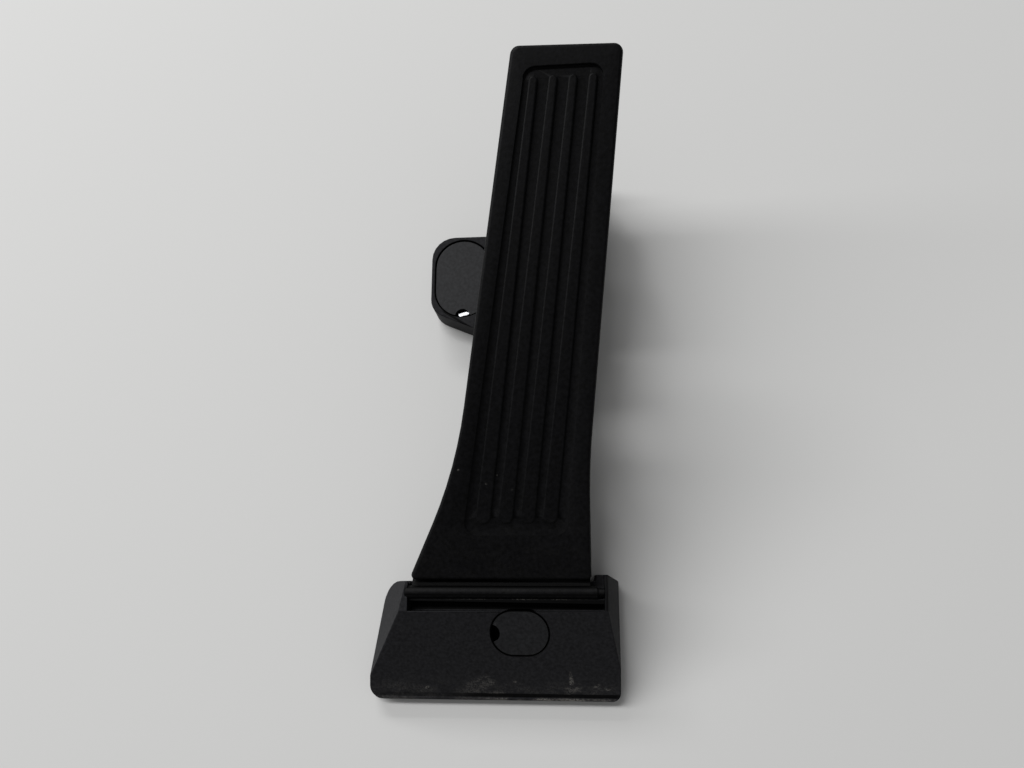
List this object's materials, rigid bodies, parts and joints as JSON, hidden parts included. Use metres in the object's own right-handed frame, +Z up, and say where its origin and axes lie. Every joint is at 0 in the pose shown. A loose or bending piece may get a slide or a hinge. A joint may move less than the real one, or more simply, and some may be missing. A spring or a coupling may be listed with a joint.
{
  "type": "accelerator pedal",
  "caption": "Floor-mounted accelerator pedal module: a long ribbed pad hinged on a wedge foot, with a sprung sensor lever beneath, bolt caps and a side ear.",
  "frame": {"origin": "where the front bolt's axis meets the flat mounting plane under the foot", "axes": "+Y from the foot towards the pad's upper end, +X to the right of the pad, +Z up from the floor"},
  "size_m": [0.1123, 0.259, 0.0921],
  "materials": {
    "black_plastic": "moulded, fine grain",
    "pad_plastic": "moulded, fine grain",
    "cap_plastic": "moulded, fine grain",
    "cover_plastic": "smooth moulded",
    "lever_plastic": "glass-filled nylon",
    "slide_plastic": "natural acetal",
    "zinc_steel": "zinc plated",
    "spring_steel": "bright drawn wire and ground pin",
    "seal_rubber": "moulded rubber",
    "board": "lacquered circuit board",
    "chip_plastic": "moulded epoxy",
    "pin_brass": "tin bronze and brass"
  },
  "bodies": {
    "housing": {"housing": "black_plastic", "front_bolt_cap": "cap_plastic", "ear_bolt_cap": "cap_plastic", "front_bolt_sleeve": "zinc_steel", "ear_bolt_sleeve": "zinc_steel", "mechanism_cover": "cover_plastic", "side_cover": "cover_plastic", "cover_seal": "seal_rubber", "cover_screws": "zinc_steel", "circuit_board": "board", "board_screws": "zinc_steel", "sensor_chips": "chip_plastic", "connector_pins": "pin_brass", "shaft_bushes": "pin_brass", "outer_spring": "spring_steel", "inner_spring": "spring_steel", "spring_seat": "slide_plastic", "idle_buffer": "seal_rubber", "full_travel_buffer": "seal_rubber"},
    "pedal": {"pedal_pad": "pad_plastic", "slide_plate": "slide_plastic"},
    "lever": {"lever": "lever_plastic", "lever_shaft": "spring_steel", "sensor_rotor": "chip_plastic"},
    "piston": {"friction_piston": "slide_plastic"}
  },
  "joints": [
    {"name": "pad_hinge", "type": "hinge", "parent": "housing", "child": "pedal", "pos_m": [0, 0.0165, 0.0265], "axis": [1, 0, 0], "range_deg": [-12, 0], "stiffness_Nm_per_rad": 6, "springref_deg": 14.32},
    {"name": "lever_hinge", "type": "hinge", "parent": "housing", "child": "lever", "pos_m": [0.01, 0.16, 0.02], "axis": [1, 0, 0], "range_deg": [0, 26]},
    {"name": "piston_slide", "type": "slide", "parent": "housing", "child": "piston", "axis": [0, 1, 0], "range_m": [0, 0.0046], "deforming": ["outer_spring", "inner_spring"]}
  ],
  "couplings": [
    {"joint": "lever_hinge", "follows": "pad_hinge", "ratio": -2.145},
    {"joint": "piston_slide", "follows": "pad_hinge", "m_per_rad": -0.02127}
  ]
}
